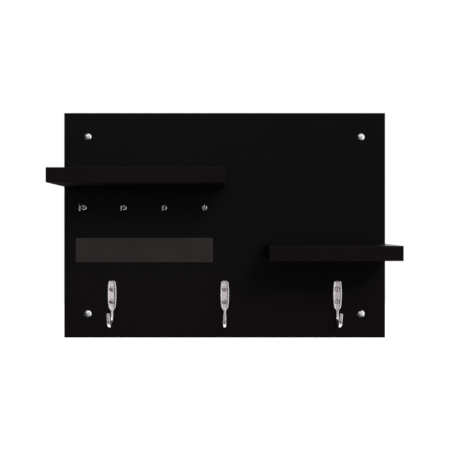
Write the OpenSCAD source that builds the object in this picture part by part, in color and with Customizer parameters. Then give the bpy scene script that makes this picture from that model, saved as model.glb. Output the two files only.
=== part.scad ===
// Wall key holder
// A black board with two offset shelves, four cup hooks for keys, a plain label strip
// and three coat hooks. Four capped screws in its corners hold it on the wall.
// Millimetres, +Z up. The wall is the plane y = 0 and the board's front faces -Y.
// The origin is the centre of the board's back face.

/* [Board] */
// Width of the board
board_w = 400; // [380:1:460]
// Height of the board
board_h = 280; // [270:1:340]
// Thickness of the board
board_t = 12; // [9:0.5:18]
// Bevel along the outer edges of the board
board_bevel = 0.5; // [0.2:0.1:1.5]
// Wood left behind the points of the short screws and the cup hooks
back_skin = 2; // [1:0.5:4]

/* [Shelves] */
// Thickness of both shelves
shelf_t = 17; // [12:0.5:25]
// How far both shelves stand out from the board
shelf_depth = 80; // [50:1:120]
// Bevel along the outer edges of the shelves
shelf_bevel = 0.4; // [0.2:0.1:1.5]
// Length of the upper shelf, from the left edge of the board
upper_shelf_w = 200; // [185:1:230]
// Height of the upper shelf's underside above the middle of the board
upper_shelf_z = 48; // [40:1:70]
// Length of the lower shelf, from the right edge of the board
lower_shelf_w = 150; // [100:1:170]
// Height of the lower shelf's underside above the middle of the board
lower_shelf_z = -40; // [-45:1:0]

/* [Shelf screws] */
// Diameter of the shelf screws
shelf_screw_d = 4; // [3:0.5:5]
// Mean diameter of the shelf screws' thread
shelf_thread_d = 3.5; // [2.5:0.1:3.8]
// Head diameter of the shelf screws
shelf_screw_head_d = 7.6; // [7:0.1:9]
// How deep the shelf screws go into the shelves
shelf_screw_grip = 28; // [15:1:40]
// Distance from a shelf's end to its outer screw
shelf_screw_inset = 24; // [10:1:40]
// Depth of the shelf screws' heads below the back of the board
shelf_screw_sink = 0.4; // [0.1:0.1:1]

/* [Wall screws] */
// Distance of the wall screws from the edges of the board
wall_screw_inset = 30; // [15:1:35]
// Shank diameter of the wall screws
wall_screw_d = 4.5; // [4:0.1:5]
// Mean diameter of the wall screws' thread
wall_thread_d = 4; // [3.4:0.1:4]
// Head diameter of the wall screws
wall_screw_head_d = 7.8; // [7:0.1:8.4]
// How far the wall screws reach into the wall
wall_screw_reach = 28; // [20:1:45]
// Diameter of the domed caps
cap_d = 9; // [8.6:0.1:12]
// Height of the domed caps
cap_h = 2.6; // [2.2:0.1:4]
// Height of the caps' straight rim
cap_rim_h = 0.9; // [0.4:0.1:1.4]
// Diameter of the threaded stud that holds a cap in its screw
cap_stud_d = 2.9; // [2:0.1:3]
// Length of the cap's stud
cap_stud_l = 3; // [2:0.5:5]

/* [Label strip] */
// Length of the label strip
label_w = 170; // [100:1:180]
// Height of the label strip
label_h = 30; // [15:1:36]
// Thickness of the label strip
label_t = 2; // [1:0.1:4]
// Height of the strip's middle above the tops of the coat hooks' plates
label_rise = 38; // [25:1:50]
// Bevel round the strip's face
label_bevel = 0.4; // [0.1:0.1:0.8]

/* [Key hooks] */
// Distance between neighbouring key hooks
key_hook_pitch = 50; // [30:1:55]
// Distance from the upper shelf's underside down to the hooks' stems
key_hook_drop = 26; // [20:1:32]
// Wire diameter of the key hooks
key_wire_d = 2.2; // [1.6:0.1:3]
// Diameter of the key hook's loop, at the middle of the wire
key_loop_d = 9.9; // [9:0.1:14]
// How far the key hooks stand out from the board
key_hook_reach = 25; // [22:0.5:30]
// Height of the loop's middle above the stem
key_loop_lift = 0.3; // [0:0.1:2]
// Radius of the swan-neck bend between stem and loop
key_neck_r = 3; // [2:0.1:4]
// Angle past the loop's top at which the wire ends
key_loop_end = 8; // [0:1:30]
// Length of the tapered tip
key_tip_l = 2.6; // [1:0.1:4]
// Diameter of the end of the tip
key_tip_d = 1.3; // [0.8:0.1:1.6]
// Diameter of the hooks' collars
key_collar_d = 6.4; // [6.2:0.1:9]
// Height of the collars' dome
key_collar_h = 2.2; // [1.8:0.1:4.4]

/* [Coat hook plates] */
// Distance from the board's ends to the outer coat hooks
coat_hook_inset = 60; // [45:1:140]
// Height of the plates' tops above the bottom of the board
coat_hook_rise = 71; // [60:1:80]
// Length of a plate, down to where it narrows
plate_l = 33; // [30:0.5:34]
// Width of a plate across its middle
plate_w = 11.1; // [10.6:0.1:14]
// Width of a plate at its top and bottom
plate_end_w = 8.8; // [8.4:0.1:10]
// Thickness of a plate over its rim
plate_t = 3; // [2.8:0.1:4]
// Depth of the plate's sunk middle
plate_sink = 1.2; // [0.4:0.1:1.3]
// Width of the raised rim
rim_w = 1.4; // [1:0.1:1.6]
// Distance from a plate's top to its upper screw
plate_screw_drop = 10.3; // [7:0.1:11]
// Distance between the two screws of a plate
plate_screw_pitch = 15.6; // [10:0.1:16]
// Diameter of the coat hook screws
plate_screw_d = 3; // [2.5:0.1:3.4]
// Mean diameter of the coat hook screws' thread
plate_thread_d = 2.6; // [2:0.1:2.8]
// Head diameter of the coat hook screws
plate_screw_head_d = 5.8; // [5.2:0.1:6]
// Height of the coat hook screws' raised heads
plate_screw_dome = 0.6; // [0.3:0.1:1.2]

/* [Coat hook arms] */
// Length of the funnel between plate and neck
funnel_l = 4.6; // [3:0.1:8]
// Length of the straight neck
neck_l = 4.4; // [2:0.1:8]
// Width of the neck
neck_w = 3.5; // [2.6:0.1:4.4]
// Thickness of the neck
neck_t = 3.4; // [2.6:0.1:4.4]
// Outer radius of the bend
bend_r = 13.7; // [11:0.1:18]
// Width of the arm at the lowest point of the bend
bend_w = 3.3; // [2.6:0.1:4.4]
// Turn of the bend in degrees, where 180 brings the prong upright
bend_turn = 168; // [150:1:180]
// Length of the prong's straight end
prong_l = 8; // [5:0.5:14]
// Width of the prong
prong_w = 3.7; // [3.5:0.1:6]
// Thickness of the prong
prong_t = 2.4; // [1.8:0.1:3.4]
// Depth of the groove along the prong's outside
groove_depth = 0.7; // [0.2:0.1:1]
// Width of that groove
groove_w = 1.9; // [1:0.1:2]

/* [Hidden] */
// Clearance between pieces that fit into each other
gap = 0.05;
// Length of cut that runs past a face
past = 1;
$fn = 64;

upper_shelf_x = -board_w / 2 + upper_shelf_w / 2;
lower_shelf_x = board_w / 2 - lower_shelf_w / 2;
upper_screws = 3;
lower_screws = 2;

wall_screw_x = board_w / 2 - wall_screw_inset;
wall_screw_z = board_h / 2 - wall_screw_inset;

key_hooks = 4;
key_hook_z = upper_shelf_z - key_hook_drop;
key_stem_depth = board_t - back_skin;
key_point_l = 3;
key_point_d = key_wire_d / 6;
// Ball that closes the joint of two runs of wire, a hair thicker than the wire
key_joint_d = key_wire_d * 1.005;
// Collar: its flat foot, and how far the foot stands out round the dome
collar_foot_t = 0.5;
collar_lip = 0.2;
key_loop_out = key_hook_reach - key_wire_d / 2 - key_loop_d / 2;
// The swan neck touches the stem's line and the loop's circle
key_neck_span = sqrt(pow(key_neck_r + key_loop_d / 2, 2) - pow(key_neck_r + key_loop_lift, 2));
key_neck_out = key_loop_out - key_neck_span;
key_neck_angle = atan2(key_neck_r + key_loop_lift, key_neck_span);
key_loop_turn = 270 - key_neck_angle + key_loop_end;
key_loop_r = key_loop_d / 2;
// Angle on the loop at which the wire ends, and the direction that it has there
key_end_angle = 90 + key_loop_end;
key_tip_angle = key_end_angle + 90;
key_tip_at = [
    key_loop_out + key_loop_r * cos(key_end_angle),
    key_loop_lift + key_loop_r * sin(key_end_angle)
];
key_tip_end = key_tip_at + key_tip_l * [cos(key_tip_angle), sin(key_tip_angle)];

coat_hooks = 3;
coat_hook_z = -board_h / 2 + coat_hook_rise;
label_z = coat_hook_z + label_rise;
plate_floor = plate_t - plate_sink;
plate_screw_l = plate_floor + board_t - back_skin;
plate_shank_l = plate_floor + 1;
screw_point_l = 3;
head_land = 0.3;
// Cross recess: its size as a share of the head, then its arms' width, its depth
// and the size of its floor as shares of its own size
cross_share = 0.6;
cross_arm = 0.24;
cross_depth = 0.5;
cross_floor = 0.4;
shelf_cross_turn = 20;
plate_cross_turn = 35;
plate_cross_step = 15;
wall_slot_w = 1.1;
wall_slot_depth = 1;
// Distances along the outside of a coat hook, from the top of its plate. The plate starts to
// narrow a little before its end
narrow_at = plate_l - 1;
neck_at = plate_l + funnel_l;
bend_at = neck_at + neck_l;
bend_low_at = bend_at + bend_r * PI / 2;
prong_at = bend_at + bend_r * bend_turn * PI / 180;
tip_at = prong_at + prong_l;
plate_corner_r = 2.2;
plate_edge_r = 0.8;
neck_edge_r = 1.2;
back_edge_r = 0.3;
prong_edge_r = 0.8;
tip_corner_r = 1;
end_round = 0.6;
corner_steps = 3;
// Width of the slope from rim to sunk middle, and how far before the neck the middle runs out
sink_slope = 0.6;
sink_run_out = 1.6;
// How far into the bend the groove starts, as a share of its radius, and its two run-outs
groove_start = 0.35;
groove_run_in = 2;
groove_run_out = 1.2;
groove_end = 1;
// Least half width of the sunk middle
sink_least = 0.25;
// Number of sections along each stretch of the hook
plate_steps = 8;
funnel_steps = 7;
bend_steps = 16;
prong_steps = 3;
end_steps = 5;
// Least flat that the rounded edges leave on a face
flat_left = 0.05;

// Places

function spread(i, n, pitch) = (i - (n - 1) / 2) * pitch;
function key_hook_x(i) = upper_shelf_x + spread(i, key_hooks, key_hook_pitch);
function coat_hook_x(i) = spread(i, coat_hooks, (board_w - 2 * coat_hook_inset) / (coat_hooks - 1));

// Children are drawn with their Z axis out of the board's front, at x and z
module on_front(x, z) {
    translate([x, -board_t, z]) rotate([90, 0, 0]) children();
}

// Children are drawn with their Z axis out of the board's back, at x and z
module on_back(x, z) {
    translate([x, 0, z]) rotate([-90, 0, 0]) children();
}

// Children are drawn in a side view: X out of the board's front, Y up
module side_view(x, z) {
    translate([x, -board_t, z]) rotate([90, 0, -90]) children();
}

module at_wall_screws() {
    for (x = [-wall_screw_x, wall_screw_x], z = [-wall_screw_z, wall_screw_z]) {
        on_front(x, z) children();
    }
}

module at_shelf_screws(middle, length, z, count) {
    pitch = (length - 2 * shelf_screw_inset) / (count - 1);
    for (i = [0:count - 1]) {
        on_back(middle + spread(i, count, pitch), z + shelf_t / 2) children();
    }
}

module at_upper_screws() {
    at_shelf_screws(upper_shelf_x, upper_shelf_w, upper_shelf_z, upper_screws) children();
}

module at_lower_screws() {
    at_shelf_screws(lower_shelf_x, lower_shelf_w, lower_shelf_z, lower_screws) children();
}

module at_plate_screws(i) {
    for (drop = [plate_screw_drop, plate_screw_drop + plate_screw_pitch]) {
        on_front(coat_hook_x(i), coat_hook_z - drop) children();
    }
}

// Screws

// Countersunk screw turned about Z: its head's face is at z = 0, its point at z = -length.
// The plain shank ends at shank_l, and what follows has the thread's mean diameter.
module csk_screw(head_d, shank_d, shank_l, thread_d, length) {
    cone_h = (head_d - shank_d) / 2;
    rotate_extrude() polygon([
        [0, 0],
        [head_d / 2, 0],
        [head_d / 2, -head_land],
        [shank_d / 2, -head_land - cone_h],
        [shank_d / 2, -shank_l],
        [thread_d / 2, -shank_l],
        [thread_d / 2, screw_point_l - length],
        [thread_d / 16, -length],
        [0, -length]
    ]);
}

// The hole for such a screw, open past the surface
module csk_hole(head_d, shank_d, depth) {
    cone_h = (head_d - shank_d) / 2;
    rotate_extrude() polygon([
        [0, past],
        [head_d / 2 + gap, past],
        [head_d / 2 + gap, -head_land],
        [shank_d / 2 + gap, -head_land - cone_h],
        [shank_d / 2 + gap, -depth],
        [0, -depth]
    ]);
}

// Cross recess, cut down from z = top
module cross_recess(head_d, top, angle) {
    size = head_d * cross_share;
    arm_w = size * cross_arm;
    depth = size * cross_depth;
    translate([0, 0, top - depth]) rotate([0, 0, angle]) intersection() {
        union() {
            translate([-size, -arm_w / 2, 0]) cube([2 * size, arm_w, depth + past]);
            translate([-arm_w / 2, -size, 0]) cube([arm_w, 2 * size, depth + past]);
        }
        cylinder(d1 = size * cross_floor, d2 = size, h = depth + past);
    }
}

// Boards

// Outline of a rectangle that starts at the origin, its corners cut off by b
module cut_corners(w, h, b) {
    polygon([
        [b, 0], [w - b, 0], [w, b], [w, h - b],
        [w - b, h], [b, h], [0, h - b], [0, b]
    ]);
}

// Board with its twelve edges bevelled
module bevelled_board(w, t, h, b) {
    intersection() {
        linear_extrude(h) cut_corners(w, t, b);
        translate([0, t, 0]) rotate([90, 0, 0]) linear_extrude(t) cut_corners(w, h, b);
        rotate([90, 0, 90]) linear_extrude(w) cut_corners(t, h, b);
    }
}

module backboard() {
    color([0.06, 0.06, 0.06]) difference() {
        translate([-board_w / 2, -board_t, -board_h / 2]) {
            bevelled_board(board_w, board_t, board_h, board_bevel);
        }
        at_wall_screws() csk_hole(wall_screw_head_d, wall_screw_d, board_t + past);
        at_upper_screws() shelf_screw_hole();
        at_lower_screws() shelf_screw_hole();
        for (i = [0:key_hooks - 1]) {
            on_front(key_hook_x(i), key_hook_z) key_hook_hole();
        }
        for (i = [0:coat_hooks - 1]) at_plate_screws(i) plate_screw_hole();
    }
}

// A shelf from its back edge against the board to its front edge
module shelf(x, z, length) {
    difference() {
        translate([x - length / 2, -board_t - shelf_depth, z]) intersection() {
            bevelled_board(length, shelf_depth + 2 * shelf_bevel, shelf_t, shelf_bevel);
            cube([length, shelf_depth, shelf_t]);
        }
        children();
    }
}

module upper_shelf() {
    color([0.09, 0.07, 0.08]) shelf(upper_shelf_x, upper_shelf_z, upper_shelf_w) {
        at_upper_screws() shelf_screw_hole();
    }
}

module lower_shelf() {
    color([0.09, 0.07, 0.08]) shelf(lower_shelf_x, lower_shelf_z, lower_shelf_w) {
        at_lower_screws() shelf_screw_hole();
    }
}

module shelf_screw_hole() {
    translate([0, 0, -shelf_screw_sink]) {
        csk_hole(shelf_screw_head_d, shelf_screw_d, board_t + shelf_screw_grip);
    }
}

module shelf_screw() {
    length = board_t + shelf_screw_grip - shelf_screw_sink;
    translate([0, 0, -shelf_screw_sink]) difference() {
        csk_screw(shelf_screw_head_d, shelf_screw_d, board_t, shelf_thread_d, length);
        cross_recess(shelf_screw_head_d, 0, shelf_cross_turn);
    }
}

module shelf_screws() {
    color([0.72, 0.7, 0.6]) {
        at_upper_screws() shelf_screw();
        at_lower_screws() shelf_screw();
    }
}

// Wall screws and their caps

// Screw with a slotted head and a tapped socket for the cap's stud
module wall_screw() {
    length = board_t + wall_screw_reach;
    difference() {
        csk_screw(wall_screw_head_d, wall_screw_d, board_t, wall_thread_d, length);
        translate([0, 0, -cap_stud_l - gap]) {
            cylinder(d = cap_stud_d + 2 * gap, h = cap_stud_l + past);
        }
        translate([-wall_screw_head_d, -wall_slot_w / 2, -wall_slot_depth]) {
            cube([2 * wall_screw_head_d, wall_slot_w, wall_slot_depth + past]);
        }
    }
}

module wall_screws() {
    color([0.7, 0.7, 0.72]) at_wall_screws() wall_screw();
}

// Domed cap, its rim on the board, with the stud that screws into the head below it
module wall_screw_cap() {
    dome_h = cap_h - cap_rim_h;
    dome_r = (pow(cap_d / 2, 2) + pow(dome_h, 2)) / (2 * dome_h);
    intersection() {
        cylinder(d = cap_d, h = cap_h);
        translate([0, 0, cap_h - dome_r]) sphere(r = dome_r);
    }
    translate([0, 0, -cap_stud_l]) cylinder(d = cap_stud_d, h = cap_stud_l);
}

module wall_screw_caps() {
    color([0.85, 0.85, 0.86]) at_wall_screws() wall_screw_cap();
}

// Label strip

module label_strip() {
    color([0.2, 0.18, 0.17]) {
        translate([upper_shelf_x - label_w / 2, -board_t - label_t, label_z - label_h / 2]) {
            intersection() {
                bevelled_board(label_w, label_t + 2 * label_bevel, label_h, label_bevel);
                cube([label_w, label_t, label_h]);
            }
        }
    }
}

// Key hooks

// Part of a ring of wire round the origin, from the angle start and on by turn
module wire_bend(radius, start, turn) {
    rotate([0, 0, start]) rotate_extrude(angle = turn) {
        translate([radius, 0]) circle(d = key_wire_d);
    }
}

// Children are drawn with their Z axis along the wire, at the point and angle given
module along_wire(point, angle) {
    translate([point[0], point[1], 0]) rotate([0, 90, angle]) children();
}

// Ball that closes a joint, turned like the wire that passes through it
module wire_ball(point, angle, d) {
    along_wire(point, angle) sphere(d = d);
}

// Straight stem with its point in the board
module wire_stem() {
    along_wire([0, 0], 0) rotate_extrude() polygon([
        [0, -key_stem_depth],
        [key_point_d / 2, -key_stem_depth],
        [key_wire_d / 2, key_point_l - key_stem_depth],
        [key_wire_d / 2, key_neck_out],
        [0, key_neck_out]
    ]);
}

module key_hook(i) {
    neck_end = key_loop_r * [-cos(key_neck_angle), -sin(key_neck_angle)];
    color([0.8, 0.8, 0.82]) side_view(key_hook_x(i), key_hook_z) {
        wire_stem();
        wire_ball([key_neck_out, 0], 0, key_joint_d);
        translate([key_neck_out, -key_neck_r, 0]) {
            wire_bend(key_neck_r, key_neck_angle, 90 - key_neck_angle);
        }
        wire_ball([key_loop_out, key_loop_lift] + neck_end, key_neck_angle - 90, key_joint_d);
        translate([key_loop_out, key_loop_lift, 0]) {
            wire_bend(key_loop_r, 180 + key_neck_angle, key_loop_turn);
        }
        wire_ball(key_tip_at, key_tip_angle, key_joint_d);
        along_wire(key_tip_at, key_tip_angle) {
            cylinder(d1 = key_wire_d, d2 = key_tip_d, h = key_tip_l);
        }
        wire_ball(key_tip_end, key_tip_angle, key_tip_d);
    }
}

module key_hook_hole() {
    translate([0, 0, -key_stem_depth - gap]) {
        cylinder(d = key_wire_d + 2 * gap, h = key_stem_depth + gap + past);
    }
}

// Pressed collar: a domed cup on a flat foot, with the wire through its middle
module key_hook_collar(i) {
    dome_h = key_collar_h - collar_foot_t;
    dome_r = (pow(key_collar_d / 2 - collar_lip, 2) + pow(dome_h, 2)) / (2 * dome_h);
    color([0.85, 0.85, 0.86]) on_front(key_hook_x(i), key_hook_z) difference() {
        union() {
            cylinder(d = key_collar_d, h = collar_foot_t);
            intersection() {
                translate([0, 0, collar_foot_t / 2]) {
                    cylinder(d = key_collar_d - collar_lip / 2, h = key_collar_h);
                }
                translate([0, 0, key_collar_h - dome_r]) sphere(r = dome_r);
            }
        }
        translate([0, 0, -past]) cylinder(d = key_wire_d + 2 * gap, h = key_collar_h + 2 * past);
    }
}

// Coat hooks

// Smooth change from a to b while u goes from u0 to u1
function ease(u, u0, u1, a, b) =
    let (s = max(0, min(1, (u - u0) / (u1 - u0))))
    a + (b - a) * s * s * (3 - 2 * s);

// How far a quarter round of radius r still cuts in at the distance u from an end
function round_off(u, r) = u >= r ? 0 : r - sqrt(r * r - pow(r - u, 2));

// Half width of the plate and funnel, then of neck, bend and prong
function plate_half_w(u) =
    let (bow = (u / plate_l - 0.5) * 2)
    plate_w / 2 - (plate_w - plate_end_w) / 2 * bow * bow;
function arm_half_w(u) =
    u < narrow_at ? plate_half_w(u) :
    u < neck_at ? ease(u, narrow_at, neck_at, plate_half_w(narrow_at), neck_w / 2) :
    u < bend_low_at ? ease(u, bend_at, bend_low_at, neck_w / 2, bend_w / 2) :
    ease(u, bend_low_at, prong_at - bend_r / 3, bend_w / 2, prong_w / 2);
function half_w(u) =
    arm_half_w(u) - round_off(u, plate_corner_r) - round_off(tip_at - u, tip_corner_r);

// Thickness, before the ends are rounded
function arm_t(u) =
    u < bend_at ? ease(u, plate_l, neck_at, plate_t, neck_t) :
    ease(u, bend_at, prong_at, neck_t, prong_t);

// Depth and half width of the plate's sunk middle
function sink(u) =
    ease(u, rim_w - sink_slope / 2, rim_w + sink_slope / 2, 0, plate_sink)
    * ease(u, neck_at - sink_run_out, neck_at, 1, 0);
function sink_half_w(u) = max(sink_least, half_w(u) - rim_w);

// Depth of the groove in the prong's outside
function groove(u) =
    let (start = bend_low_at + bend_r * groove_start, end = tip_at - groove_end)
    ease(u, start, start + groove_run_in, 0, groove_depth)
    * ease(u, end - groove_run_out, end, 1, 0);

function front_edge_r(u) = ease(u, plate_l, neck_at, plate_edge_r, neck_edge_r);
function outer_edge_r(u) = ease(u, neck_at, bend_low_at, back_edge_r, prong_edge_r);

// Quarter round of radius r about the point c, from the angle start
function corner(c, r, start) = [
    for (k = [0:corner_steps])
        let (a = start - 90 * k / corner_steps)
        [c[0] + r * cos(a), c[1] + r * sin(a)]
];

// Right half of the cross-section at u: X across, Y from the outside to the inside
function half_section(u) =
    let (
        w = half_w(u),
        low = round_off(tip_at - u, end_round),
        high = arm_t(u) - round_off(u, end_round) - low,
        xs = sink_half_w(u),
        r_max = min(w, (high - low) / 2) - flat_left,
        rf = min(front_edge_r(u), r_max),
        ro = min(outer_edge_r(u), r_max),
        xg = min(groove_w / 2, w - ro - flat_left)
    )
    concat(
        [[0, high - sink(u)], [xs * 0.8, high - sink(u)], [min(xs, w - rf - flat_left), high]],
        corner([w - rf, high - rf], rf, 90),
        corner([w - ro, low + ro], ro, 0),
        [[xg, low], [xg * 0.7, low + groove(u)], [0, low + groove(u)]]
    );

function full_section(u) =
    let (half = half_section(u), n = len(half))
    concat(half, [for (k = [n - 2:-1:1]) [-half[k][0], half[k][1]]]);

// Point of the hook's outside at u, with the angle that it has turned there: [out, up, angle]
function spine(u) =
    u <= bend_at ? [0, -u, 0] :
    let (a = min(u - bend_at, prong_at - bend_at) / bend_r * 180 / PI, on = max(0, u - prong_at))
    [bend_r * (1 - cos(a)) + on * sin(a), -bend_at - bend_r * sin(a) - on * cos(a), a];

function placed_section(u) =
    let (s = spine(u))
    [for (p = full_section(u)) [p[0], -s[0] - p[1] * cos(s[2]), s[1] + p[1] * sin(s[2])]];

// Equal steps from a, which is left out, to b
function stretch(a, b, steps) = [for (k = [1:steps]) a + (b - a) * k / steps];

// Places of the cross-sections, closer where the form changes fast
hook_stations = concat(
    [for (k = [0:end_steps]) plate_corner_r * (1 - cos(90 * k / end_steps))],
    stretch(plate_corner_r, narrow_at, plate_steps),
    stretch(narrow_at, neck_at, funnel_steps),
    [bend_at],
    stretch(bend_at, prong_at, bend_steps),
    stretch(prong_at, tip_at - groove_end - groove_run_out, prong_steps),
    [tip_at - groove_end - groove_run_out / 2],
    [for (k = [1:end_steps - 1]) tip_at - tip_corner_r * (1 - sin(90 * k / (end_steps - 1)))]
);

// Skin through a list of closed sections that have the same number of points.
// Each end is a fan about the middle of its section.
module loft(sections) {
    rows = len(sections);
    n = len(sections[0]);
    ones = [for (k = [1:n]) 1 / n];
    points = concat([for (s = sections) each s], [ones * sections[0]], [ones * sections[rows - 1]]);
    sides = [
        for (r = [0:rows - 2], k = [0:n - 1])
            let (a = r * n + k, b = r * n + (k + 1) % n)
            each [[a, b, b + n], [a, b + n, a + n]]
    ];
    ends = [
        for (k = [0:n - 1])
            let (b = (k + 1) % n, last = (rows - 1) * n)
            each [[rows * n, b, k], [rows * n + 1, last + k, last + b]]
    ];
    polyhedron(points, concat(sides, ends));
}

module coat_hook(i) {
    color([0.78, 0.76, 0.77]) difference() {
        translate([coat_hook_x(i), -board_t, coat_hook_z]) {
            loft([for (u = hook_stations) placed_section(u)]);
        }
        at_plate_screws(i) plate_screw_hole();
    }
}

module plate_screw_hole() {
    translate([0, 0, plate_floor]) {
        csk_hole(plate_screw_head_d, plate_screw_d, plate_screw_l + gap);
    }
}

// Screw with a raised countersunk head that sits in the plate's sunk middle
module plate_screw(angle) {
    dome_r = (pow(plate_screw_head_d / 2, 2) + pow(plate_screw_dome, 2)) / (2 * plate_screw_dome);
    translate([0, 0, plate_floor]) difference() {
        union() {
            csk_screw(
                plate_screw_head_d, plate_screw_d, plate_shank_l, plate_thread_d, plate_screw_l
            );
            intersection() {
                cylinder(d = plate_screw_head_d, h = plate_screw_dome);
                translate([0, 0, plate_screw_dome - dome_r]) sphere(r = dome_r);
            }
        }
        cross_recess(plate_screw_head_d, plate_screw_dome, angle);
    }
}

module coat_hook_screws() {
    color([0.75, 0.74, 0.75]) {
        for (i = [0:coat_hooks - 1]) {
            at_plate_screws(i) plate_screw(plate_cross_turn + plate_cross_step * i);
        }
    }
}

backboard();
upper_shelf();
lower_shelf();
shelf_screws();
label_strip();
key_hook(0);  // key_hook_1
key_hook(1);  // key_hook_2
key_hook(2);  // key_hook_3
key_hook(3);  // key_hook_4
key_hook_collar(0);  // key_hook_collar_1
key_hook_collar(1);  // key_hook_collar_2
key_hook_collar(2);  // key_hook_collar_3
key_hook_collar(3);  // key_hook_collar_4
coat_hook(0);  // coat_hook_left
coat_hook(1);  // coat_hook_middle
coat_hook(2);  // coat_hook_right
coat_hook_screws();
wall_screws();
wall_screw_caps();
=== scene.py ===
"""Wall key holder: a black board with two shelves, cup hooks, a label strip and coat hooks.

Metres, Z up. The wall is the plane y = 0, and the board's front faces -Y.
"""

import math

import bmesh
import bpy
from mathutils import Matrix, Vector


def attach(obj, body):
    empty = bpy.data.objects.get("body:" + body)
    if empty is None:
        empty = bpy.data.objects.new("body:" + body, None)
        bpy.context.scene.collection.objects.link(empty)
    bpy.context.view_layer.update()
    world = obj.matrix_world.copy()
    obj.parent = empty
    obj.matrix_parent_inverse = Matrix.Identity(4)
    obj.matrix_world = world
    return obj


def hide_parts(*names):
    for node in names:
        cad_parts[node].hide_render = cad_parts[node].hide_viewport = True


MM = 0.001

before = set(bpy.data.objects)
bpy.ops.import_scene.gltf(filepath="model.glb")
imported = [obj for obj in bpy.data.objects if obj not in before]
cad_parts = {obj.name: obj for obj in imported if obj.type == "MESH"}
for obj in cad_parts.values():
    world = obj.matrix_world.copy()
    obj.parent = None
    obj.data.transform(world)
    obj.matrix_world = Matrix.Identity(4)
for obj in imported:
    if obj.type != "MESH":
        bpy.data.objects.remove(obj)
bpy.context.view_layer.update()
scene = bpy.context.scene
scene.view_settings.view_transform = "Standard"

# Sizes from the CAD source, in millimetres
BOARD_T = 12.0
WALL_SCREWS = [(x, z) for x in (-170.0, 170.0) for z in (-110.0, 110.0)]
KEY_HOOK_X = [-175.0, -125.0, -75.0, -25.0]
KEY_HOOK_Z = 22.0
COAT_HOOKS = {"left": -140.0, "middle": 0.0, "right": 140.0}
COAT_HOOK_Z = -69.0


# Camera: its distance in metres, its lens and sensor in millimetres

CAMERA_AWAY = 0.782
CAMERA_LENS = 49.45
CAMERA_SENSOR = 36.0
CAMERA_SHIFT = (0.00078, 0.00073)


def build_camera():
    data = bpy.data.cameras.new("camera")
    data.sensor_width = CAMERA_SENSOR
    data.lens = CAMERA_LENS
    data.shift_x, data.shift_y = CAMERA_SHIFT
    camera = bpy.data.objects.new("camera", data)
    camera.location = (0.0, -CAMERA_AWAY, 0.0)
    camera.rotation_euler = (math.pi / 2, 0.0, 0.0)
    scene.collection.objects.link(camera)
    scene.camera = camera


# Node graphs


class Graph:
    """The nodes of a material or of the world, with the few kinds that this scene needs."""

    def __init__(self, tree, coords):
        self.tree = tree
        self.coords = self.node("TexCoord", {}).outputs[coords]

    def put(self, value, socket):
        if isinstance(value, bpy.types.NodeSocket):
            self.tree.links.new(value, socket)
        else:
            socket.default_value = value

    def node(self, kind, inputs, **settings):
        """New node with its own settings and its inputs, which are sockets, numbers or colours."""
        made = self.tree.nodes.new("ShaderNode" + kind)
        for name, value in settings.items():
            setattr(made, name, value)
        for name, value in inputs.items():
            self.put(value, made.inputs[name])
        return made

    def parts(self, vector):
        """X, Y and Z of a vector."""
        return self.node("SeparateXYZ", {"Vector": vector}).outputs

    def stretched(self, scale):
        return self.node("Mapping", {"Vector": self.coords, "Scale": scale}).outputs["Vector"]

    def noise(self, scale, detail=2.0, roughness=0.5, distortion=0.0, coords=None):
        inputs = {
            "Vector": coords or self.coords,
            "Scale": scale,
            "Detail": detail,
            "Roughness": roughness,
            "Distortion": distortion,
        }
        return self.node("TexNoise", inputs).outputs["Fac"]

    def ranged(self, value, low, high, to_low=0.0, to_high=1.0):
        """Smooth step from to_low to to_high, as the value goes from low to high."""
        inputs = {
            "Value": value,
            "From Min": low,
            "From Max": high,
            "To Min": to_low,
            "To Max": to_high,
        }
        return self.node("MapRange", inputs, interpolation_type="SMOOTHSTEP").outputs["Result"]

    def math(self, operation, a, b=0.0):
        return self.node("Math", {0: a, 1: b}, operation=operation).outputs["Value"]

    def product(self, first, *others):
        for other in others:
            first = self.math("MULTIPLY", first, other)
        return first

    def blend(self, a, share_a, b, share_b):
        """Sum of two values, each times its share."""
        return self.math("ADD", self.product(a, share_a), self.product(b, share_b))

    def mixed(self, factor, a, b):
        inputs = {"Factor": factor, "A": a, "B": b}
        return self.node("Mix", inputs, data_type="RGBA").outputs["Result"]

    def bump(self, height, strength, distance, below=None):
        inputs = {"Height": height, "Strength": strength, "Distance": distance}
        if below is not None:
            inputs["Normal"] = below
        return self.node("Bump", inputs).outputs["Normal"]

    def face_normal(self):
        return self.parts(self.node("NewGeometry", {}).outputs["True Normal"])

    def bevels(self):
        """1 on the narrow slanted faces along the edges of a board, 0 on its large faces."""
        sizes = [self.math("ABSOLUTE", part) for part in self.face_normal()]
        largest = self.math("MAXIMUM", self.math("MAXIMUM", sizes[0], sizes[1]), sizes[2])
        return self.ranged(largest, 0.75, 0.98, 1.0, 0.0)

    def undersides(self, amount):
        """This amount on faces that look down, 0 elsewhere."""
        return self.ranged(self.face_normal()["Z"], -0.9, -0.6, amount, 0.0)

    def shade(self, **values):
        """Put values into the material's own shader."""
        shader = self.tree.nodes["Principled BSDF"]
        for name, value in values.items():
            self.put(value, shader.inputs[name.replace("_", " ")])


def new_material(name):
    material = bpy.data.materials.new(name)
    material.use_nodes = True
    return material, Graph(material.node_tree, "Object")


def srgb(r, g, b):
    """Linear colour of an 8-bit sRGB one."""
    linear = [c / 255 / 12.92 if c <= 10 else ((c / 255 + 0.055) / 1.055) ** 2.4 for c in (r, g, b)]
    return (*linear, 1.0)


# Materials

# Heights between which the boards' black turns lighter and warmer, painted light that evens out the
# lamp's falloff towards the bottom, and depths of bump, all in metres
PAINTED_LIFT_FULL_BELOW = -0.14
PAINTED_LIFT_NONE_ABOVE = 0.03
GRAIN_DEPTH = 0.00004
WAVE_DEPTH = 0.0004
RIPPLE_DEPTH = 0.00003
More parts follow.
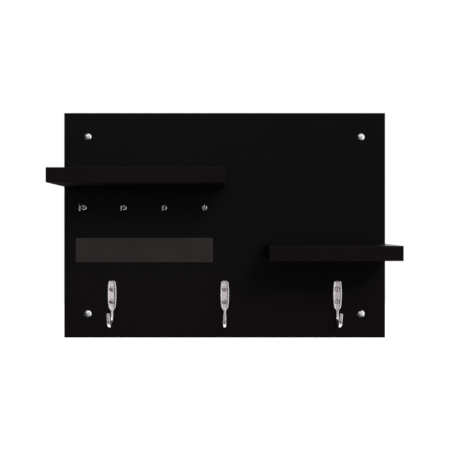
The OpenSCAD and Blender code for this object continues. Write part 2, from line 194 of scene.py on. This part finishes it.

# Of each laminate: darkest and lightest tone, the lighter, warmer tone low on the board (painted
# light), the bevels' painted highlight, strength of the grain
LAMINATES = {
    "board_laminate": ((9, 9, 9), (11, 11, 11), (15, 10, 11), (20, 19, 19), 0.22),
    "shelf_laminate": ((15, 10, 12), (18, 12, 14), (17, 12, 14), (24, 19, 21), 0.176),
}

STRIP_DARK = (38, 34, 33)
STRIP_LIGHT = (45, 41, 39)
# Painted highlight on the strip's bevels
STRIP_BEVEL_HIGHLIGHT = (66, 60, 58)

# Of each metal: darkest and lightest colour, range of roughness, strength of the ripple
METALS = {
    "hook_chrome": ((0.88, 0.89, 0.91), (0.94, 0.95, 0.97), (0.05, 0.12), 0.1),
    "coat_hook_nickel": ((0.93, 0.91, 0.92), (0.99, 0.97, 0.98), (0.2, 0.3), 0.2),
    # A darker, pinker copy of the nickel: painted shade on the sunk face and the prong's front
    "coat_hook_painted_shade": ((0.92, 0.82, 0.85), (0.97, 0.87, 0.90), (0.24, 0.34), 0.35),
    "hook_screw_steel": ((0.84, 0.78, 0.79), (0.92, 0.86, 0.87), (0.16, 0.26), 0.2),
    # A darker copy of the collars' chrome: painted shade on the key hooks' wires under the shelf
    "wire_chrome_painted_shade": ((0.42, 0.42, 0.44), (0.50, 0.50, 0.52), (0.06, 0.14), 0.1),
    # Nearly black: painted shade in the gaps, holes and cross recesses
    "recess_painted_shade": ((0.06, 0.055, 0.055), (0.12, 0.11, 0.11), (0.5, 0.7), 0.35),
    "cap_chrome": ((0.82, 0.81, 0.82), (0.90, 0.89, 0.90), (0.22, 0.32), 0.08),
    "zinc_plate": ((0.58, 0.57, 0.50), (0.66, 0.67, 0.68), (0.25, 0.42), 0.3),
}


# A noise's scale is about the number of its spots in a metre


def laminate(name, dark, light, low, edge, grain_strength):
    """Black laminated board: fine grain, satin, matt below, a painted highlight on the bevels, and
    lighter and warmer lower down, painted light against the lamp's falloff.
    """
    material, g = new_material(name)
    clouds = g.noise(16.0, 3.0, 0.55)
    grain = g.noise(2400.0, 2.0, 0.6)
    speck = g.noise(620.0, 3.0, 0.6)
    tone = g.blend(clouds, 0.4, speck, 0.6)
    colour = g.mixed(g.ranged(tone, 0.2, 0.8), srgb(*dark), srgb(*light))
    # Painted light: the black turns lighter and warmer lower down, to even out the lamp's falloff
    # towards the bottom
    painted_lift = g.ranged(g.parts(g.coords)["Z"], PAINTED_LIFT_FULL_BELOW, PAINTED_LIFT_NONE_ABOVE, 1.0, 0.0)
    colour = g.mixed(painted_lift, colour, srgb(*low))
    # Painted highlight on the bevels
    colour = g.mixed(g.bevels(), colour, srgb(*edge))
    rubbed = g.noise(55.0, 4.0, 0.6, 0.6)
    roughness = g.ranged(rubbed, 0.2, 0.8, 0.27, 0.33)
    roughness = g.math("MAXIMUM", roughness, g.undersides(0.9))
    height = g.math("ADD", g.product(grain, 0.5), speck)
    fine = g.bump(height, grain_strength, GRAIN_DEPTH)
    waves = g.bump(g.noise(70.0, 2.0), 0.12, WAVE_DEPTH, fine)
    g.shade(Base_Color=colour, Roughness=roughness, Normal=waves, Specular_IOR_Level=0.05)
    return material


def strip_face():
    """The label strip: a dull dark face, a little lighter than the board, with a painted highlight on
    its bevels.
    """
    material, g = new_material("strip_face")
    clouds = g.noise(26.0, 3.0, 0.6)
    fibres = g.noise(900.0, 3.0, 0.6, coords=g.stretched((0.25, 1.0, 1.0)))
    tone = g.blend(clouds, 0.5, fibres, 0.5)
    colour = g.mixed(g.ranged(tone, 0.35, 0.65), srgb(*STRIP_DARK), srgb(*STRIP_LIGHT))
    # Painted highlight on the bevels
    colour = g.mixed(g.bevels(), colour, srgb(*STRIP_BEVEL_HIGHLIGHT))
    g.shade(
        Base_Color=colour,
        Roughness=g.ranged(g.noise(80.0, 3.0), 0.3, 0.7, 0.46, 0.56),
        Normal=g.bump(fibres, 0.25, GRAIN_DEPTH),
        Specular_IOR_Level=0.12,
    )
    return material


def plated(name, dark, light, rough, ripple_strength):
    """Plated metal: its colour wanders a little, it is polished unevenly and its surface ripples."""
    material, g = new_material(name)
    wander = g.noise(140.0, 3.0, 0.6, 0.3)
    polish = g.noise(900.0, 4.0, 0.65)
    g.shade(
        Base_Color=g.mixed(g.ranged(wander, 0.3, 0.7), (*dark, 1), (*light, 1)),
        Roughness=g.ranged(polish, 0.3, 0.75, *rough),
        Normal=g.bump(g.noise(360.0, 2.0), ripple_strength, RIPPLE_DEPTH),
        Metallic=1.0,
    )
    return material


def build_materials():
    made = {name: laminate(name, *look) for name, look in LAMINATES.items()}
    made["strip_face"] = strip_face()
    for name, look in METALS.items():
        made[name] = plated(name, *look)
    return made


# Meshes: a shape is a list of points in millimetres and a list of faces

SHARP = math.radians(40.0)


def new_mesh(name, shape, material):
    verts, faces = shape
    mesh = bpy.data.meshes.new(name)
    mesh.from_pydata([tuple(c * MM for c in v) for v in verts], [], faces)
    work = bmesh.new()
    work.from_mesh(mesh)
    bmesh.ops.recalc_face_normals(work, faces=work.faces)
    work.to_mesh(mesh)
    work.free()
    mesh.materials.append(material)
    return mesh


def new_piece(name, shape, material, replaces):
    mesh = new_mesh(name, shape, material)
    mesh.shade_smooth()
    mesh.set_sharp_from_angle(angle=SHARP)
    piece = bpy.data.objects.new(name, mesh)
    scene.collection.objects.link(piece)
    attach(piece, "root")
    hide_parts(*replaces)
    return piece


def cut_out(piece, shape, material):
    """Take a closed shape out of a piece; the cut faces get the material."""
    cutter = bpy.data.objects.new("cutter", new_mesh("cutter", shape, material))
    scene.collection.objects.link(cutter)
    cut = piece.modifiers.new("holes", "BOOLEAN")
    cut.operation = "DIFFERENCE"
    cut.solver = "EXACT"
    cut.material_mode = "TRANSFER"
    cut.object = cutter
    bpy.context.view_layer.update()
    seen = piece.evaluated_get(bpy.context.evaluated_depsgraph_get())
    made = bpy.data.meshes.new_from_object(seen)
    piece.modifiers.clear()
    piece.data = made
    made.set_sharp_from_angle(angle=SHARP)
    bpy.data.objects.remove(cutter)


def join(shapes):
    verts, faces = [], []
    for shape_verts, shape_faces in shapes:
        base = len(verts)
        verts += shape_verts
        faces += [tuple(base + i for i in f) for f in shape_faces]
    return verts, faces


def rings(sections):
    """Skin through closed sections with the same number of points, closed at both ends."""
    verts = [p for s in sections for p in s]
    n = len(sections[0])
    last = (len(sections) - 1) * n
    faces = []
    for base in range(0, last, n):
        for k in range(n):
            a = base + k
            b = base + (k + 1) % n
            faces.append((a, b, b + n, a + n))
    faces.append(tuple(range(n)))
    faces.append(tuple(range(last + n - 1, last - 1, -1)))
    return verts, faces


def turned(profile, steps, place, bulge=None):
    """Turns (radius, height) points about an axis; place maps (across, along, height) to the frame.
    bulge(angle, height) adds to the radius. A radius of 0 closes the end in a point."""
    verts, faces, rows = [], [], []
    for r, h in profile:
        if r == 0:
            rows.append([len(verts)])
            verts.append(place(0, 0, h))
            continue
        rows.append(list(range(len(verts), len(verts) + steps)))
        for k in range(steps):
            a = 2 * math.pi * k / steps
            radius = r + (bulge(a, h) if bulge else 0.0)
            verts.append(place(radius * math.cos(a), radius * math.sin(a), h))
    for low, high in zip(rows, rows[1:]):
        for k in range(steps):
            a, b = low[k % len(low)], low[(k + 1) % len(low)]
            c, d = high[(k + 1) % len(high)], high[k % len(high)]
            face = [a]
            for v in (b, c, d):
                if v not in face:
                    face.append(v)
            if len(face) > 2:
                faces.append(tuple(face))
    return verts, faces


def on_front(x, z):
    """Place on the board's front: height is out of the board."""
    return lambda a, b, h: (x + a, -BOARD_T - h, z + b)


def arc(centre, radius, start, end, steps):
    """Points on an arc, from one angle in degrees to the other."""
    points = []
    for k in range(steps + 1):
        a = math.radians(start + (end - start) * k / steps)
        points.append((centre[0] + radius * math.cos(a), centre[1] + radius * math.sin(a)))
    return points


def between(start, end, steps):
    """Even steps from start to end, without start."""
    return [start + (end - start) * k / steps for k in range(1, steps + 1)]


# Wall screws and caps

CAP_R = 4.5
CAP_H = 2.6
CAP_RIM = 0.9
CAP_EDGE_R = 0.15
STUD_R = 1.45
STUD_L = 3.0
SOCKET_R = 1.5
SOCKET_DEPTH = 3.05
WALL_HEAD_R = 3.9
WALL_HEAD_EDGE = 0.3
WALL_HEAD_DEPTH = 1.95
SHANK_R = 2.25
THREAD_R = 2.0
THREAD_L = 28.0
WALL_TIP_L = 3.0
WALL_TIP_R = 0.25
THREAD_PITCH = 2.0
# How far the ridge stands above the mean radius and the root lies below it, and half the
# ridge's width as a share of the pitch
RIDGE_H = 0.35
ROOT_DEPTH = 0.2
RIDGE_SHARE = 0.26
# Where the thread starts behind the board, and the lengths over which it fades in and out
THREAD_START = 0.3
FADE_IN = 2.0
FADE_OUT = 3.4
THREAD_STEPS = 220


def cap_profile():
    """Stud at the back, then a straight rim with a rounded foot, and a low dome."""
    dome_h = CAP_H - CAP_RIM
    dome_r = (CAP_R**2 + dome_h**2) / (2 * dome_h)
    # The dome starts 3 degrees inside the rim, which leaves a bevel between them
    reach = math.degrees(math.asin(CAP_R / dome_r)) - 3.0
    dome = arc((0.0, CAP_H - dome_r), dome_r, 90 - reach, 90, 14)
    dome[-1] = (0, CAP_H)
    foot = CAP_R - CAP_EDGE_R
    return (
        [(0, -STUD_L), (STUD_R, -STUD_L), (STUD_R, 0.0), (foot, 0.0)]
        + arc((foot, CAP_EDGE_R), CAP_EDGE_R, -60, 0, 3)
        + [(CAP_R, CAP_RIM - 0.12)]
        + dome
    )


def build_caps(materials):
    shape = join([turned(cap_profile(), 64, on_front(x, z)) for x, z in WALL_SCREWS])
    new_piece("screw_caps", shape, materials["cap_chrome"], ["wall_screw_caps"])


def screw_thread(angle, height):
    """What the thread adds to its mean radius: it fades in behind the board and out at the tip."""
    out = -height - BOARD_T
    if out < THREAD_START:
        return 0.0
    turn = (out / THREAD_PITCH + angle / (2 * math.pi)) % 1.0
    ridge = max(0.0, 1 - abs(turn - 0.5) / RIDGE_SHARE)
    fade_in = min(1.0, (out - THREAD_START) / FADE_IN)
    fade_out = min(1.0, max(0.0, (THREAD_L - out) / FADE_OUT))
    return (ridge * (RIDGE_H + ROOT_DEPTH) - ROOT_DEPTH) * fade_in * fade_out


def build_wall_screws(materials):
    """Countersunk heads with a socket for the caps' studs; the threads stand out behind the board."""
    profile = [
        (0, -SOCKET_DEPTH),
        (SOCKET_R, -SOCKET_DEPTH),
        (SOCKET_R, 0.0),
        (WALL_HEAD_R, 0.0),
        (WALL_HEAD_R, -WALL_HEAD_EDGE),
        (SHANK_R, -WALL_HEAD_DEPTH),
        (SHANK_R, -BOARD_T),
        (THREAD_R, -BOARD_T - 0.01),
    ]
    for out in between(0.0, THREAD_L, THREAD_STEPS)[:-1]:
        into_tip = max(0.0, out - (THREAD_L - WALL_TIP_L)) / WALL_TIP_L
        profile.append((THREAD_R + (WALL_TIP_R - THREAD_R) * into_tip, -BOARD_T - out))
    profile.append((0, -BOARD_T - THREAD_L))
    shape = join([turned(profile, 48, on_front(x, z), screw_thread) for x, z in WALL_SCREWS])
    new_piece("screws_in_wall", shape, materials["zinc_plate"], ["wall_screws"])


# Key hooks

WIRE_R = 1.1
WIRE_SIDES = 28
# Depth in the board up to which the wire is full; beyond it, depth and radius of its point
WIRE_IN_BOARD = 7.0
WIRE_POINT = [(10.0, 0.2), (9.0, 0.45)]
WIRE_NECK_R = 3.0
LOOP_R = 4.95
LOOP_OUT = 18.95
LOOP_UP = 0.3
# The loop ends this many degrees past its top, in a straight tip
LOOP_PAST_TOP = 8.0
WIRE_TIP_L = 2.6
WIRE_TIP_R = 0.65

COLLAR_R = 3.2
COLLAR_BORE_R = 1.15
COLLAR_GAP_R = 1.68
COLLAR_RIM_R = 0.75
COLLAR_RIM_OUT = 1.2


def key_hook_path():
    """Points (out, up) along the wire's middle, each with the wire's radius there."""
    span = math.sqrt((WIRE_NECK_R + LOOP_R) ** 2 - (WIRE_NECK_R + LOOP_UP) ** 2)
    neck_out = LOOP_OUT - span
    neck = math.degrees(math.atan2(WIRE_NECK_R + LOOP_UP, span))
    path = [(-depth, 0.0, radius) for depth, radius in WIRE_POINT]
    path.append((-WIRE_IN_BOARD, 0.0, WIRE_R))
    path += [(out, 0.0, WIRE_R) for out in between(-WIRE_IN_BOARD, neck_out, 8)[:-1]]
    bends = arc((neck_out, -WIRE_NECK_R), WIRE_NECK_R, 90, neck, 12)
    bends += arc((LOOP_OUT, LOOP_UP), LOOP_R, 180 + neck, 450 + LOOP_PAST_TOP, 64)[1:]
    path += [(out, up, WIRE_R) for out, up in bends]
    out, up = bends[-1]
    way = math.radians(180.0 + LOOP_PAST_TOP)
    for share in between(0.0, 1.0, 8):
        on = WIRE_TIP_L * share
        radius = WIRE_R + (WIRE_TIP_R - WIRE_R) * share
        path.append((out + on * math.cos(way), up + on * math.sin(way), radius))
    for a in between(0.0, math.pi / 2, 5):
        on = WIRE_TIP_L + WIRE_TIP_R * math.sin(a)
        radius = max(0.02, WIRE_TIP_R * math.cos(a))
        path.append((out + on * math.cos(way), up + on * math.sin(way), radius))
    return path


def swept(path, x, z):
    """Round wire along a path in the plane that stands out of the board at x."""
    sections = []
    for i, (out, up, radius) in enumerate(path):
        before = path[max(0, i - 1)]
        after = path[min(len(path) - 1, i + 1)]
        along = Vector((after[0] - before[0], after[1] - before[1])).normalized()
        side = (-along.y, along.x)
        ring = []
        for k in range(WIRE_SIDES):
            a = 2 * math.pi * k / WIRE_SIDES
            o = out + radius * math.cos(a) * side[0]
            u = up + radius * math.cos(a) * side[1]
            ring.append((x + radius * math.sin(a), -BOARD_T - o, z + u))
        sections.append(ring)
    return rings(sections)


def collar_profile():
    """Collar with a rounded rim and a recess round the wire."""
    return (
        [(COLLAR_BORE_R, 0.0), (COLLAR_R - 0.1, 0.0), (COLLAR_R, 0.1), (COLLAR_R, 0.95)]
        + arc((COLLAR_R - COLLAR_RIM_R, COLLAR_RIM_OUT), COLLAR_RIM_R, -15, 185, 26)
        + [(COLLAR_GAP_R, 0.75), (1.5, 0.45), (COLLAR_BORE_R, 0.4), (COLLAR_BORE_R, 0.0)]
    )


def build_key_hooks(materials):
    path = key_hook_path()
    for i, x in enumerate(KEY_HOOK_X, 1):
        wire = swept(path, x, KEY_HOOK_Z)
        # The wire gets a darker copy of the collar's chrome: painted shade
        new_piece(f"cup_hook_{i}", wire, materials["wire_chrome_painted_shade"], [f"key_hook_{i}"])
        collar = new_piece(
            f"cup_hook_collar_{i}",
            turned(collar_profile(), 56, on_front(x, KEY_HOOK_Z)),
            materials["hook_chrome"],
            [f"key_hook_collar_{i}"],
        )
        # The gap round the wire is nearly black: painted shade
        collar.data.materials.append(materials["recess_painted_shade"])
        for polygon in collar.data.polygons:
            c = polygon.center / MM
            in_gap = math.hypot(c.x - x, c.z - KEY_HOOK_Z) < COLLAR_GAP_R + 0.03
            if in_gap and c.y < -BOARD_T - 0.1:
                polygon.material_index = 1


# Coat hooks: u is the length along one from the top of its plate, and AT marks a place on it

PLATE_L = 33.0
PLATE_W = 11.1
PLATE_END_W = 8.8
PLATE_T = 3.0
PLATE_SINK = 1.2
RIM_W = 1.4
NECK_W = 3.5
NECK_T = 3.4
BEND_R = 13.7
BEND_W = 3.3
PRONG_W = 3.7
PRONG_T = 2.4
GROOVE_DEPTH = 0.7
GROOVE_W = 1.9
NARROW_AT = PLATE_L - 1
NECK_AT = PLATE_L + 4.6
BEND_AT = NECK_AT + 4.4
BEND_LOW_AT = BEND_AT + BEND_R * math.pi / 2
PRONG_AT = BEND_AT + BEND_R * math.radians(168.0)
TIP_AT = PRONG_AT + 8.0

# Radii of the plate's and the tip's corners, of their edges, and of the edges along the hook
TOP_CORNER_R = 2.2
TIP_CORNER_R = 1.0
END_EDGE_R = 0.6
PLATE_FRONT_R = 0.8
NECK_FRONT_R = 1.2
PLATE_BACK_R = 0.3
BEND_BACK_R = 0.8
# The least width that is left between one form of a section and the next
SPARE = 0.05

# The plates' screws: their places along u, their holes and their heads
PLATE_SCREWS = [10.3, 25.9]
PLATE_FLOOR = PLATE_T - PLATE_SINK
HOLE_R = 1.55
GAP_R = 3.2
HEAD_R = 2.9
HEAD_TOP_R = 2.4
HEAD_TOP = PLATE_FLOOR + 0.1
HEAD_DOME = 0.3
SCREW_R = 1.5
CORE_R = 1.3
SCREW_L = 10.0
# Turn of the cross recess of each screw, in the order of the plates and their screws
RECESS_TURNS = [20.0, 52.0, 33.0, 61.0, 48.0, 12.0]


def ease(u, u0, u1, a, b):
    """Smooth step from a to b, as u goes from u0 to u1."""
    s = max(0.0, min(1.0, (u - u0) / (u1 - u0)))
    return a + (b - a) * s * s * (3 - 2 * s)


def round_off(u, r):
    """How far a corner of radius r stays back at the distance u from the end."""
    return 0.0 if u >= r else r - math.sqrt(max(0.0, r * r - (r - u) ** 2))


def plate_half_width(u):
    bow = (u / PLATE_L - 0.5) * 2
    return PLATE_W / 2 - (PLATE_W - PLATE_END_W) / 2 * bow * bow


def half_width(u):
    if u < NARROW_AT:
        w = plate_half_width(u)
    elif u < NECK_AT:
        w = ease(u, NARROW_AT, NECK_AT, plate_half_width(NARROW_AT), NECK_W / 2)
    elif u < BEND_LOW_AT:
        w = ease(u, BEND_AT, BEND_LOW_AT, NECK_W / 2, BEND_W / 2)
    else:
        w = ease(u, BEND_LOW_AT, PRONG_AT - BEND_R / 3, BEND_W / 2, PRONG_W / 2)
    return w - round_off(u, TOP_CORNER_R) - round_off(TIP_AT - u, TIP_CORNER_R)


def thickness(u):
    if u < BEND_AT:
        return ease(u, PLATE_L, NECK_AT, PLATE_T, NECK_T)
    return ease(u, BEND_AT, PRONG_AT, NECK_T, PRONG_T)


def sink_at(u):
    start = ease(u, RIM_W - 0.4, RIM_W + 0.4, 0.0, PLATE_SINK)
    return start * ease(u, NECK_AT - 1.6, NECK_AT, 1.0, 0.0)


def groove_at(u):
    start = BEND_LOW_AT + BEND_R * 0.35
    return ease(u, start, start + 2, 0, GROOVE_DEPTH) * ease(u, TIP_AT - 2.2, TIP_AT - 1, 1, 0)


def half_section(u):
    """Right half of the cross-section as (across, high) points: from the middle of the plate's
    front, which is the bend's inner side, round to the middle of the other side."""
    w = half_width(u)
    low = round_off(TIP_AT - u, END_EDGE_R)
    high = thickness(u) - round_off(u, END_EDGE_R) - low
    limit = min(w, (high - low) / 2) - SPARE
    front = min(ease(u, PLATE_L, NECK_AT, PLATE_FRONT_R, NECK_FRONT_R), limit)
    back = min(ease(u, NECK_AT, BEND_LOW_AT, PLATE_BACK_R, BEND_BACK_R), limit)
    inner = max(0.25, w - RIM_W)
    flat = min(inner, w - front - SPARE)
    floor = high - sink_at(u)
    points = [(0.0, floor), (inner * 0.45, floor)]
    for k in range(7):
        s = k / 6
        points.append((inner * 0.72 + (flat - inner * 0.72) * s, ease(s, 0, 1, floor, high)))
    points += arc((w - front, high - front), front, 90, 0, 6)
    points += arc((w - back, low + back), back, 0, -90, 5)
    edge = min(GROOVE_W / 2, w - back - SPARE)
    for k in range(5):
        s = k / 4
        points.append((edge * (1 - 0.5 * s), low + ease(s, 0, 1, 0, groove_at(u))))
    points.append((0.0, low + groove_at(u)))
    return points


def spine(u):
    """How far out and up the middle of the hook's back lies, and its turn from straight down."""
    if u <= BEND_AT:
        return 0.0, -u, 0.0
    a = min(u - BEND_AT, PRONG_AT - BEND_AT) / BEND_R
    on = max(0.0, u - PRONG_AT)
    out = BEND_R * (1 - math.cos(a)) + on * math.sin(a)
    return out, -BEND_AT - BEND_R * math.sin(a) - on * math.cos(a), a


def stations():
    """Places of the sections along u, close together at both ends."""
    steps = [TOP_CORNER_R * (1 - math.cos(math.radians(9 * k))) for k in range(11)]
    spans = [(NARROW_AT, 36), (NECK_AT, 22), (BEND_AT, 6), (PRONG_AT, 56), (TIP_AT - 2.2, 10)]
    for end, count in spans:
        steps += between(steps[-1], end, count)
    steps += [TIP_AT - 2.0 + k / 5 for k in range(5)]
    steps += [TIP_AT - TIP_CORNER_R * (1 - math.sin(math.radians(10 * k))) for k in range(10)]
    return steps


def placed_section(u, x):
    half = half_section(u)
    full = half + [(-across, high) for across, high in half[-2:0:-1]]
    out, up, a = spine(u)
    return [
        (
            x + across,
            -BOARD_T - out - high * math.cos(a),
            COAT_HOOK_Z + up + high * math.sin(a),
        )
        for across, high in full
    ]


def screw_cutter(x, z):
    """Countersunk hole through the plate, wide enough to leave a gap round the screw's head."""
    profile = [
        (0, -1.0),
        (HOLE_R, -1.0),
        (HOLE_R, PLATE_FLOOR - 1.35),
        (2.1, PLATE_FLOOR - 0.8),
        (GAP_R - 0.05, PLATE_FLOOR - 0.75),
        (GAP_R, PLATE_FLOOR + 0.02),
        (GAP_R + 0.15, PLATE_FLOOR + 0.12),
        (GAP_R + 0.15, PLATE_FLOOR + 3),
        (0, PLATE_FLOOR + 3),
    ]
    return turned(profile, 48, on_front(x, z))


def build_coat_hook(name, x, materials):
    piece = new_piece(
        f"coat_hook_{name}_cast",
        rings([placed_section(u, x) for u in stations()]),
        materials["coat_hook_nickel"],
        [f"coat_hook_{name}"],
    )
    # Painted shade: the sunk face and the prong's front get a darker, pinker copy of the nickel than
    # the rest of the hook
    piece.data.materials.append(materials["coat_hook_painted_shade"])
    for polygon in piece.data.polygons:
        c = polygon.center / MM
        out = -BOARD_T - c.y
        down = COAT_HOOK_Z - c.z
        sunk = down < NECK_AT and out < PLATE_T - 0.35
        prong = down < BEND_AT + 9.0 and out > BEND_R + 4.0
        if (sunk or prong) and polygon.normal.y < -0.3:
            polygon.material_index = 1
    holes = join([screw_cutter(x, COAT_HOOK_Z - u) for u in PLATE_SCREWS])
    # The holes' walls are nearly black: painted shade in the gaps round the screws' heads
    cut_out(piece, holes, materials["recess_painted_shade"])


def cross_section(place, turn, height, reach, width):
    """Plus-shaped section of the cross recess."""
    half = width / 2
    corners = []
    for k in range(4):
        quarter = math.radians(turn + 90.0 * k)
        for u, v in ((half, -half), (reach, -half), (reach, half)):
            across = u * math.cos(quarter) - v * math.sin(quarter)
            along = u * math.sin(quarter) + v * math.cos(quarter)
            corners.append(place(across, along, height))
    return corners


def build_plate_screws(materials):
    """Screws with a low domed head, and a cross recess that narrows downwards."""
    dome_r = (HEAD_TOP_R**2 + HEAD_DOME**2) / (2 * HEAD_DOME)
    profile = [
        (0, -SCREW_L),
        (0.25, -SCREW_L + 0.15),
        (CORE_R, -SCREW_L + 2.0),
        (CORE_R, -1.05),
        (SCREW_R, -0.95),
        (SCREW_R, PLATE_FLOOR - 1.4),
        (HEAD_R - 0.4, PLATE_FLOOR - 0.45),
        (HEAD_R, PLATE_FLOOR - 0.42),
    ]
    for k in range(13):
        r = HEAD_TOP_R * (1 - k / 12)
        profile.append((r, HEAD_TOP + HEAD_DOME - dome_r + math.sqrt(dome_r**2 - r**2)))
    places = [on_front(x, COAT_HOOK_Z - u) for x in COAT_HOOKS.values() for u in PLATE_SCREWS]
    piece = new_piece(
        "hook_screws",
        join([turned(profile, 48, place) for place in places]),
        materials["hook_screw_steel"],
        ["coat_hook_screws"],
    )
    recesses = []
    for place, turn in zip(places, RECESS_TURNS):
        low = cross_section(place, turn, HEAD_TOP - 1.2, 0.75, 0.55)
        high = cross_section(place, turn, HEAD_TOP + 0.8, 2.0, 0.95)
        recesses.append(rings([low, high]))
    # The cross recesses are nearly black: painted shade
    cut_out(piece, join(recesses), materials["recess_painted_shade"])


# Carried-over nodes

NODE_LOOKS = {
    "backboard": "board_laminate",
    "upper_shelf": "shelf_laminate",
    "lower_shelf": "shelf_laminate",
    "shelf_screws": "zinc_plate",
    "label_strip": "strip_face",
}


def dress_nodes(materials):
    for name, look in NODE_LOOKS.items():
        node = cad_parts[name]
        node.data.materials.clear()
        node.data.materials.append(materials[look])


# Studio

# The grey room ahead: how far right its middle lies, its light, and the light beside it
ROOM_RIGHT = 0.09
ROOM_LIGHT = 0.66
BESIDE_LIGHT = 0.04
ARC_LIGHT = 1.2
FLOOR_LIGHT = 0.36

# The floor's height and reach in metres, and how strongly it glows where it is seen
FLOOR_Z = -1.1
FLOOR_X = 5.0
FLOOR_Y = 8.0
FLOOR_GLOW = 0.7

LAMP_PLACE = Vector((0.7, -1.45, 0.85))
LAMP_SIZE = (0.8, 0.6)
LAMP_POWER = 24.0


def build_world():
    """A grey room ahead with a bright arc round it, and white behind the wall and to the camera."""
    world = bpy.data.worlds.new("studio")
    scene.world = world
    world.use_nodes = True
    world.node_tree.nodes.clear()
    g = Graph(world.node_tree, "Generated")
    x, y, z = g.parts(g.coords)
    path = g.node("LightPath", {}).outputs
    # How far a direction lies from the room's middle: 0 there, about 1 in the plane of the wall
    right = g.math("SUBTRACT", x, ROOM_RIGHT)
    aside = g.math("SQRT", g.math("ADD", g.product(right, right), g.product(z, z)))
    # About 1 towards the upper right, and -1 towards the lower left
    lean = g.math("DIVIDE", g.blend(right, 0.66, z, 0.75), g.math("MAXIMUM", aside, 0.001))
    # An even grey ahead, brighter on the left
    room = g.product(
        g.ranged(aside, 0.34, 0.55, ROOM_LIGHT, BESIDE_LIGHT), g.ranged(x, -0.3, 0.3, 1.25, 0.5)
    )
    # A soft bright arc round it, from the upper left over the top to the lower right
    bright_arc = g.product(
        g.ranged(aside, 0.4, 0.56, 0.0, ARC_LIGHT),
        g.ranged(aside, 0.8, 0.98, 1.0, 0.2),
        g.ranged(lean, -0.55, -0.05),
    )
    light = g.math("MAXIMUM", room, bright_arc)
    # Matt surfaces get less from below
    from_below = g.math("MAXIMUM", g.ranged(z, -0.4, -0.05, 0.15, 1.0), path["Is Glossy Ray"])
    light = g.product(light, from_below)
    # White behind the wall
    light = g.math("MAXIMUM", light, g.ranged(y, 0.7, 0.9))
    # The pale floor in front of the wall, as polished metal shows it
    pale_floor = g.product(
        g.ranged(z, -0.85, -0.65, 0.0, FLOOR_LIGHT),
        g.ranged(z, -0.3, -0.1, 1.0, 0.0),
        g.ranged(x, -0.5, -0.2, 0.25, 1.0),
        path["Is Glossy Ray"],
    )
    light = g.math("MAXIMUM", light, pale_floor)
    light = g.math("MAXIMUM", light, path["Is Camera Ray"])
    background = g.node("Background", {"Color": light, "Strength": 1.0})
    g.node("OutputWorld", {"Surface": background.outputs["Background"]})


def build_floor():
    """The pale floor, which glows where the camera or polished metal sees it."""
    mesh = bpy.data.meshes.new("floor")
    corners = [(-FLOOR_X, 0.0), (FLOOR_X, 0.0), (FLOOR_X, FLOOR_Y), (-FLOOR_X, FLOOR_Y)]
    mesh.from_pydata([(x, y, FLOOR_Z) for x, y in corners], [], [(0, 1, 2, 3)])
    floor = bpy.data.objects.new("floor", mesh)
    scene.collection.objects.link(floor)
    material, g = new_material("floor")
    path = g.node("LightPath", {}).outputs
    seen = g.math("MAXIMUM", path["Is Camera Ray"], path["Is Glossy Ray"])
    g.shade(
        Base_Color=(0.86, 0.86, 0.86, 1),
        Roughness=0.85,
        Emission_Color=(1, 1, 1, 1),
        Emission_Strength=g.product(seen, FLOOR_GLOW),
    )
    mesh.materials.append(material)


def build_lamp():
    """A soft lamp ahead, above and to the right, turned to the object's middle."""
    data = bpy.data.lights.new("key", "AREA")
    data.shape = "RECTANGLE"
    data.size, data.size_y = LAMP_SIZE
    data.energy = LAMP_POWER
    lamp = bpy.data.objects.new("key", data)
    lamp.location = LAMP_PLACE
    lamp.rotation_euler = (-LAMP_PLACE).to_track_quat("-Z", "Y").to_euler()
    lamp.visible_camera = False
    lamp.visible_glossy = False
    scene.collection.objects.link(lamp)


build_camera()
build_world()
build_floor()
build_lamp()
finishes = build_materials()
dress_nodes(finishes)
build_caps(finishes)
build_wall_screws(finishes)
build_key_hooks(finishes)
for hook_name, hook_x in COAT_HOOKS.items():
    build_coat_hook(hook_name, hook_x, finishes)
build_plate_screws(finishes)

bpy.context.view_layer.update()
